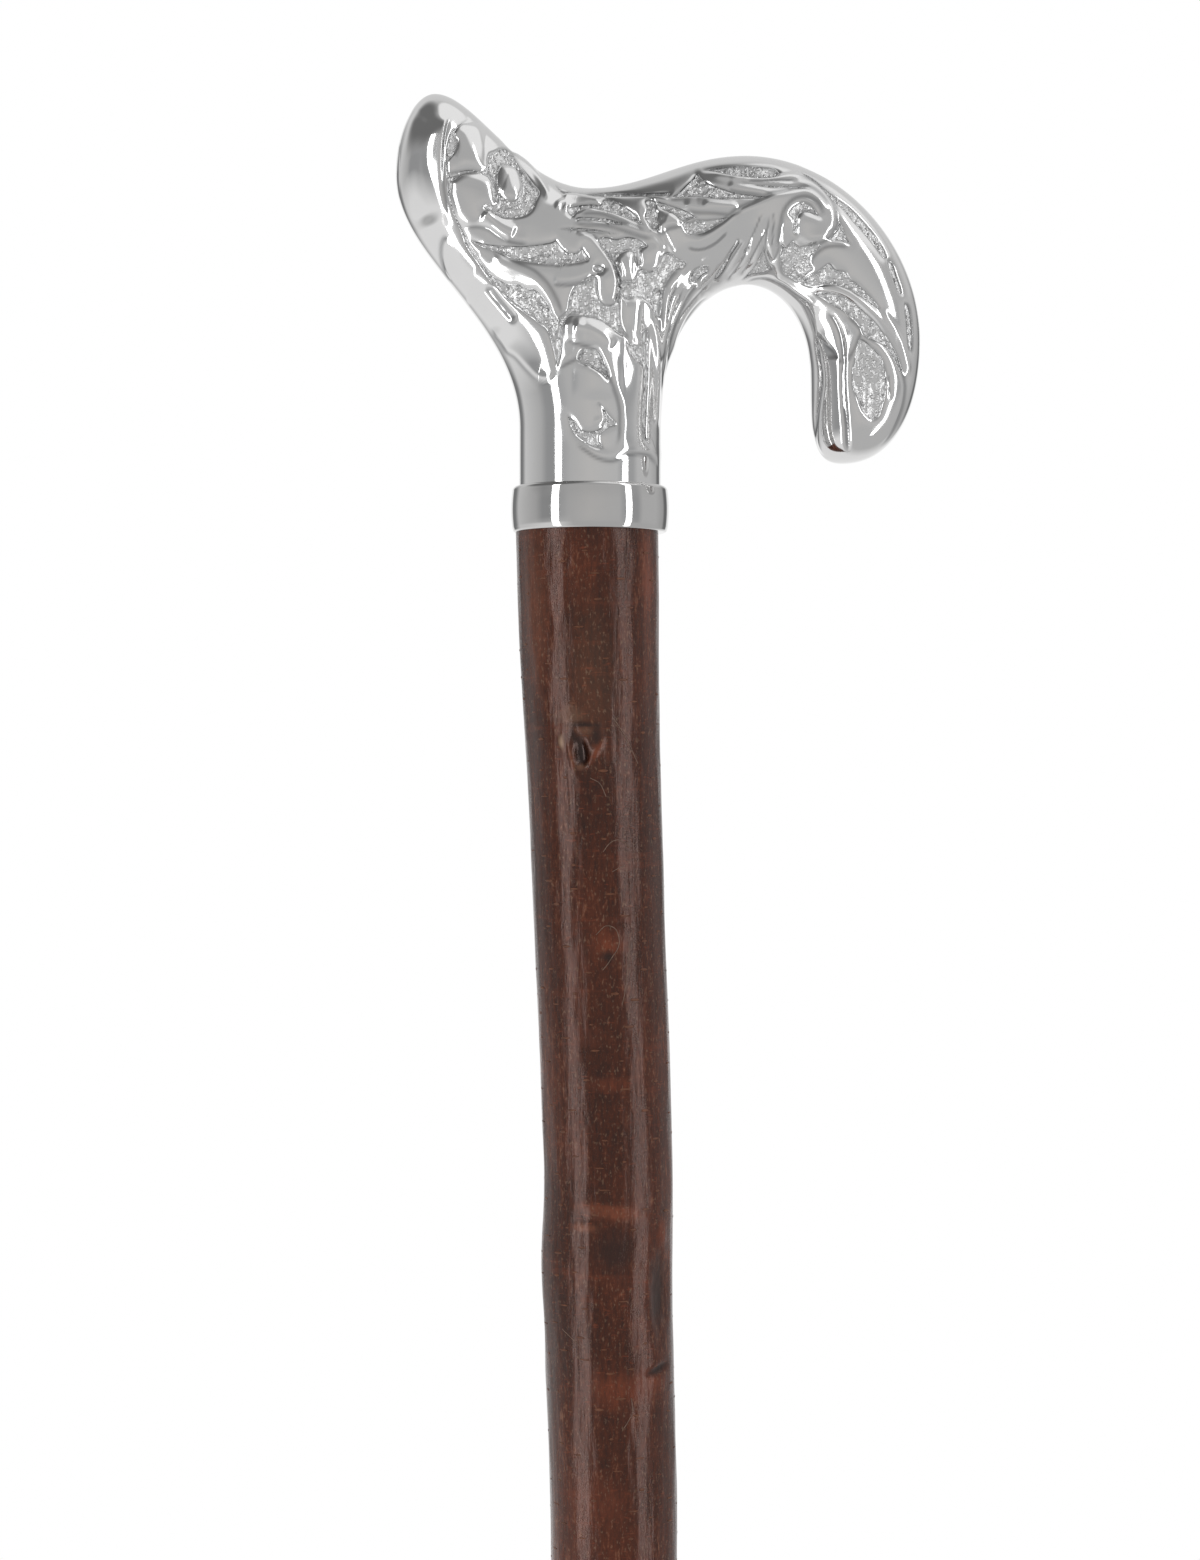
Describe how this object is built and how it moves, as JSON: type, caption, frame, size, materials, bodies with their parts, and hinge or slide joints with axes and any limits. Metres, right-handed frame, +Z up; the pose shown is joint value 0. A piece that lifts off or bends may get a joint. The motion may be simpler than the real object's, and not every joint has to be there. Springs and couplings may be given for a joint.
{
  "type": "walking stick",
  "caption": "Derby-handled walking stick: filled, pressed metal handle with raised acanthus scrolls, polished collar, bark-on natural shaft and a push-on rubber ferrule.",
  "frame": {"origin": "centre of the ferrule's sole, on the floor", "axes": "+Z up the stick, +X towards the nose of the handle, the seam of the two handle halves in the XZ plane, -Y the side seen in the picture"},
  "size_m": [0.0996, 0.038, 0.915],
  "materials": {
    "handle_metal": "bright plated pressing, polished scrolls on a stippled ground",
    "filling_resin": "cast filled resin",
    "plate_steel": "stamped steel disc",
    "bush_brass": "turned brass",
    "stud_steel": "rolled stud",
    "collar_metal": "turned, bright plated and polished",
    "bark": "natural bark under clear varnish",
    "ferrule_rubber": "moulded black rubber",
    "washer_steel": "zinc-plated steel disc"
  },
  "bodies": {
    "stick": {"handle_front_shell": "handle_metal", "handle_back_shell": "handle_metal", "handle_filling": "filling_resin", "neck_plate": "plate_steel", "threaded_bush": "bush_brass", "joining_stud": "stud_steel", "collar": "collar_metal", "shaft": "bark"},
    "ferrule": {"ferrule": "ferrule_rubber", "ferrule_washer": "washer_steel"}
  },
  "joints": [
    {"name": "ferrule_pull", "type": "slide", "parent": "ferrule", "child": "stick", "axis": [0, 0, 1], "range_m": [0, 0.045]}
  ]
}
